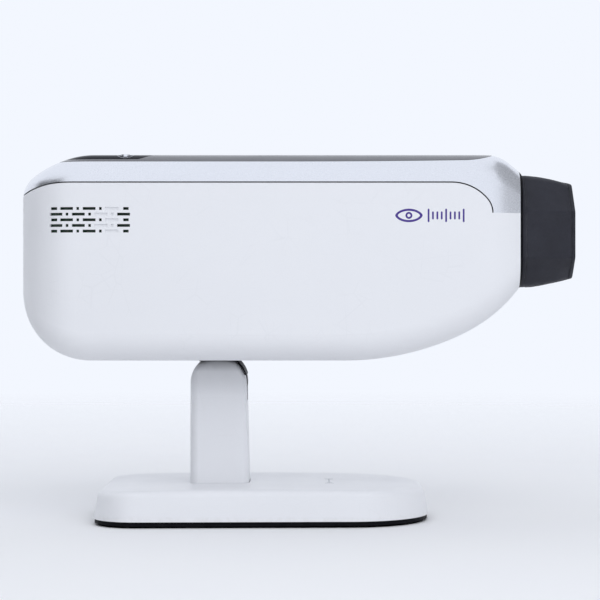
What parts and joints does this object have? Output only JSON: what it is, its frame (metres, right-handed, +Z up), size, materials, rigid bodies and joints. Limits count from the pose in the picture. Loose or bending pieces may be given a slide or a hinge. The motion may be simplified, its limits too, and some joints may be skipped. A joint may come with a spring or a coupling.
{
  "type": "autorefractor",
  "caption": "Desktop autorefractor: long white optical head with dark eye hood, silver top frame and touch screen, tilting on a short column over a weighted oval base.",
  "frame": {"origin": "centre of the base's underside, on the surface that it stands on", "axes": "+X towards the person being measured, +Y to the operator's left, +Z up"},
  "size_m": [0.5318, 0.2076, 0.3554],
  "materials": {
    "white_shell": "white satin moulded plastic",
    "silver_frame": "silver metallic paint, satin",
    "dark_panel": "dark grey gloss plastic",
    "screen_glass": "black cover glass",
    "hood_plastic": "charcoal fine-textured plastic",
    "seal_rubber": "soft silicone rubber",
    "base_rubber": "black rubber sheet",
    "black_plastic": "black matt plastic",
    "steel": "brushed steel",
    "screw_steel": "dark steel screws",
    "aluminium": "bead-blasted aluminium",
    "dark_aluminium": "black anodised aluminium",
    "bronze": "sintered bronze",
    "board_green": "green circuit board with black chips",
    "motor_black": "black motor can",
    "lens_glass": "coated optical glass",
    "display_glass": "display module",
    "button_silver": "satin silver button"
  },
  "bodies": {
    "base": {"anti_slip_pad": "base_rubber", "base_tray": "black_plastic", "base_cover": "white_shell", "ballast_plate": "steel", "column_post": "aluminium", "column_shell": "white_shell", "base_screws": "screw_steel", "hinge_pin": "steel", "hinge_nut": "steel", "friction_washers": "bronze", "power_inlet": "black_plastic", "power_switch_frame": "black_plastic", "power_supply": "board_green"},
    "power_rocker": {"power_rocker": "black_plastic"},
    "start_button": {"start_button": "button_silver"},
    "pupil_screw": {"pupil_screw": "steel"},
    "focus_screw": {"focus_screw": "steel"},
    "focus_carriage": {"focus_carriage": "dark_aluminium", "chart_display": "display_glass"},
    "fan_rotor": {"fan_rotor": "black_plastic"},
    "right_eye_optics": {"right_carriage": "dark_aluminium", "right_eyepiece_tube": "dark_aluminium", "right_eyepiece_lens": "lens_glass", "right_lamp_ring": "board_green", "right_beam_splitter": "lens_glass", "right_camera": "motor_black"},
    "left_eye_optics": {"left_carriage": "dark_aluminium", "left_eyepiece_tube": "dark_aluminium", "left_eyepiece_lens": "lens_glass", "left_lamp_ring": "board_green", "left_beam_splitter": "lens_glass", "left_camera": "motor_black"},
    "head": {"chassis_plate": "aluminium", "hinge_knuckle": "dark_aluminium", "hinge_bushes": "bronze", "shell_pillars": "aluminium", "shell_screws": "screw_steel", "optics_brackets": "dark_aluminium", "front_screws": "screw_steel", "right_side_shell": "white_shell", "left_side_shell": "white_shell", "top_frame": "silver_frame", "touch_screen": "screen_glass", "top_panel": "dark_panel", "front_plate": "black_plastic", "eye_hood": "hood_plastic", "face_seal": "seal_rubber", "pupil_rails": "steel", "pupil_motor": "motor_black", "focus_brackets": "dark_aluminium", "focus_rails": "steel", "focus_drive_motor": "motor_black", "display_module": "display_glass", "tilt_shroud": "black_plastic", "button_board": "board_green", "main_board": "board_green", "board_supports": "black_plastic", "driver_board": "board_green", "fan_frame": "black_plastic"}
  },
  "joints": [
    {"name": "head_tilt", "type": "hinge", "parent": "base", "child": "head", "pos_m": [-0.041, 0, 0.1345], "axis": [0, 1, 0], "range_deg": [-10, 15]},
    {"name": "right_pupil_slide", "type": "slide", "parent": "head", "child": "right_eye_optics", "axis": [0, 1, 0], "range_m": [-0.0075, 0.0075]},
    {"name": "left_pupil_slide", "type": "slide", "parent": "head", "child": "left_eye_optics", "axis": [0, 1, 0], "range_m": [-0.0075, 0.0075]},
    {"name": "pupil_screw_spin", "type": "hinge", "parent": "head", "child": "pupil_screw", "pos_m": [0.205, 0, 0.24], "axis": [0, 1, 0], "range_deg": [-541, 541]},
    {"name": "focus_slide", "type": "slide", "parent": "head", "child": "focus_carriage", "axis": [1, 0, 0], "range_m": [-0.05, 0.05]},
    {"name": "focus_screw_spin", "type": "hinge", "parent": "head", "child": "focus_screw", "pos_m": [0, 0, 0.215], "axis": [1, 0, 0], "range_deg": [-1801, 1801]},
    {"name": "fan_spin", "type": "hinge", "parent": "head", "child": "fan_rotor", "pos_m": [-0.14, 0.0947, 0.27], "axis": [0, 1, 0], "continuous": true},
    {"name": "start_button_press", "type": "slide", "parent": "head", "child": "start_button", "axis": [0, 0, -1], "range_m": [0, 0.0008], "stiffness_N_per_m": 600, "springref_m": -0.0005},
    {"name": "power_rocker_rock", "type": "hinge", "parent": "base", "child": "power_rocker", "pos_m": [-0.1497, -0.022, 0.017], "axis": [0, 1, 0], "range_deg": [0, 14]}
  ],
  "couplings": [
    {"joint": "left_pupil_slide", "follows": "right_pupil_slide", "ratio": -1},
    {"joint": "pupil_screw_spin", "follows": "right_pupil_slide", "rad_per_m": 1256.6},
    {"joint": "focus_screw_spin", "follows": "focus_slide", "rad_per_m": 628.32}
  ]
}
